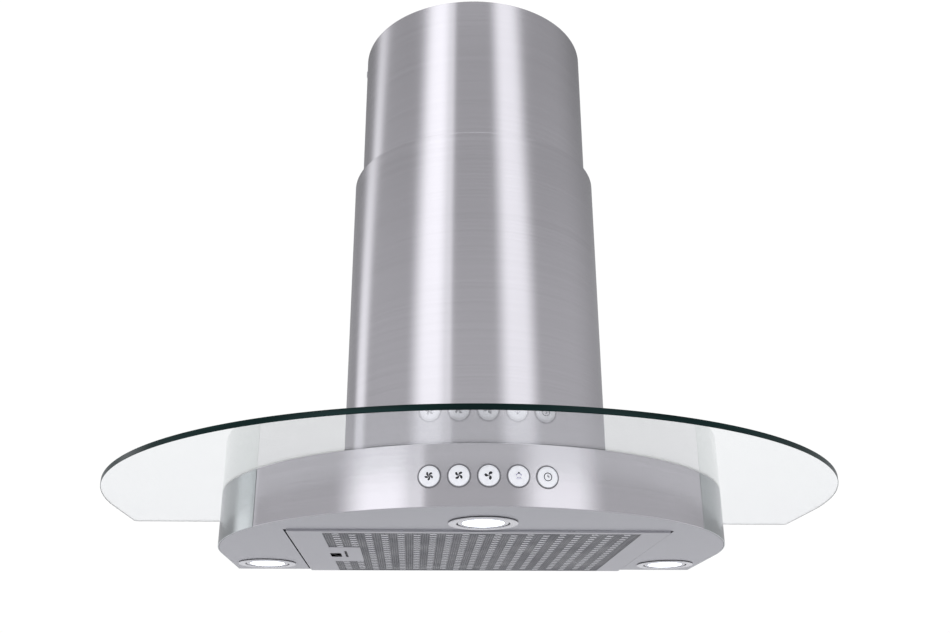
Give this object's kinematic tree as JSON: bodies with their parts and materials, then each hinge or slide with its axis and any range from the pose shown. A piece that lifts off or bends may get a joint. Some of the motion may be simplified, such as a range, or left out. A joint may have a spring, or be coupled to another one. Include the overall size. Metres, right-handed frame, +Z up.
{
  "type": "island range hood",
  "caption": "Ceiling-hung range hood: slim D-shaped steel body under a D-shaped glass canopy, lamps and grease filter below, telescoping round chimney above.",
  "frame": {"origin": "bottom centre of the overall box: under the middle of the glass canopy, level with the underside of the grease filter", "axes": "+X to the right across the glass, +Y to the flat back, -Y the side with the buttons, +Z up to the ceiling"},
  "size_m": [0.9, 0.553, 0.6575],
  "materials": {
    "brushed_steel": "horizontally brushed stainless steel",
    "polished_steel": "polished stainless steel",
    "filter_steel": "satin stainless steel",
    "galvanised": "zinc-coated sheet steel",
    "screw_steel": "bright zinc-plated steel",
    "aluminium": "plain aluminium",
    "motor_metal": "dark painted cast housing",
    "black_plastic": "matt black moulding",
    "button_plastic": "pale satin plastic",
    "circuit_board": "green circuit board",
    "rubber": "black foam rubber",
    "canopy_glass": "clear tempered glass with a green edge",
    "lamp_lens": "frosted lens, lit"
  },
  "bodies": {
    "ceiling_frame": {"ceiling_plate": "galvanised", "upper_chimney": "brushed_steel", "chimney_screw_right": "screw_steel", "chimney_screw_left": "screw_steel", "upper_rail_back_right": "galvanised", "upper_rail_back_left": "galvanised", "upper_rail_front_left": "galvanised", "upper_rail_front_right": "galvanised"},
    "hood": {"glass_canopy": "canopy_glass", "glass_gasket": "rubber", "fascia": "brushed_steel", "side_wrap_right": "polished_steel", "side_wrap_left": "polished_steel", "back_panel": "brushed_steel", "top_panel": "galvanised", "bottom_panel": "brushed_steel", "switch_carrier": "black_plastic", "switch_board": "circuit_board", "trim_ring_front": "polished_steel", "trim_ring_rear_left": "polished_steel", "trim_ring_rear_right": "polished_steel", "lamp_lens_front": "lamp_lens", "lamp_lens_rear_left": "lamp_lens", "lamp_lens_rear_right": "lamp_lens", "lamp_housing_front": "aluminium", "lamp_housing_rear_left": "aluminium", "lamp_housing_rear_right": "aluminium", "led_driver": "black_plastic", "chimney_base_ring": "galvanised", "lower_rail_back_right": "galvanised", "lower_rail_back_left": "galvanised", "lower_rail_front_left": "galvanised", "lower_rail_front_right": "galvanised", "height_screw_back_right": "screw_steel", "height_screw_back_left": "screw_steel", "height_screw_front_left": "screw_steel", "height_screw_front_right": "screw_steel", "motor_box": "galvanised", "scroll_housing": "black_plastic", "motor": "motor_metal", "motor_bracket": "galvanised", "terminal_box": "black_plastic", "cable_inlet": "black_plastic", "capacitor": "aluminium", "outlet_collar": "galvanised", "damper_pin": "screw_steel"},
    "lower_chimney": {"lower_chimney": "brushed_steel"},
    "impeller": {"impeller": "aluminium"},
    "damper_rear": {"damper_flap_rear": "aluminium"},
    "damper_front": {"damper_flap_front": "aluminium"},
    "button_1": {"button_1": "button_plastic"},
    "button_2": {"button_2": "button_plastic"},
    "button_3": {"button_3": "button_plastic"},
    "button_4": {"button_4": "button_plastic"},
    "button_5": {"button_5": "button_plastic"},
    "filter": {"filter_face": "filter_steel", "filter_frame": "filter_steel", "filter_mesh": "aluminium"},
    "latch": {"latch_slide": "polished_steel"}
  },
  "joints": [
    {"name": "height_adjust", "type": "slide", "parent": "ceiling_frame", "child": "hood", "axis": [0, 0, -1], "range_m": [0, 0.17]},
    {"name": "chimney_lift", "type": "slide", "parent": "hood", "child": "lower_chimney", "axis": [0, 0, 1], "range_m": [0, 0.15]},
    {"name": "impeller_spin", "type": "hinge", "parent": "hood", "child": "impeller", "pos_m": [0, 0.0545, 0.146], "axis": [1, 0, 0], "continuous": true},
    {"name": "damper_rear_open", "type": "hinge", "parent": "hood", "child": "damper_rear", "pos_m": [0, 0.0615, 0.292], "axis": [1, 0, 0], "range_deg": [0, 75]},
    {"name": "damper_front_open", "type": "hinge", "parent": "hood", "child": "damper_front", "pos_m": [0, 0.0615, 0.292], "axis": [-1, 0, 0], "range_deg": [0, 75]},
    {"name": "button_1_press", "type": "slide", "parent": "hood", "child": "button_1", "axis": [0.189, 0.982, 0], "range_m": [0, 0.003], "stiffness_N_per_m": 400, "springref_m": -0.002},
    {"name": "button_2_press", "type": "slide", "parent": "hood", "child": "button_2", "axis": [0.0949, 0.9955, 0], "range_m": [0, 0.003], "stiffness_N_per_m": 400, "springref_m": -0.002},
    {"name": "button_3_press", "type": "slide", "parent": "hood", "child": "button_3", "axis": [0, 1, 0], "range_m": [0, 0.003], "stiffness_N_per_m": 400, "springref_m": -0.002},
    {"name": "button_4_press", "type": "slide", "parent": "hood", "child": "button_4", "axis": [-0.0949, 0.9955, 0], "range_m": [0, 0.003], "stiffness_N_per_m": 400, "springref_m": -0.002},
    {"name": "button_5_press", "type": "slide", "parent": "hood", "child": "button_5", "axis": [-0.189, 0.982, 0], "range_m": [0, 0.003], "stiffness_N_per_m": 400, "springref_m": -0.002},
    {"name": "filter_open", "type": "hinge", "parent": "hood", "child": "filter", "pos_m": [0.211, 0.12, 0.0035], "axis": [0, -1, 0], "range_deg": [0, 70]},
    {"name": "latch_pull", "type": "slide", "parent": "filter", "child": "latch", "axis": [1, 0, 0], "range_m": [0, 0.008], "stiffness_N_per_m": 300, "springref_m": -0.004}
  ]
}
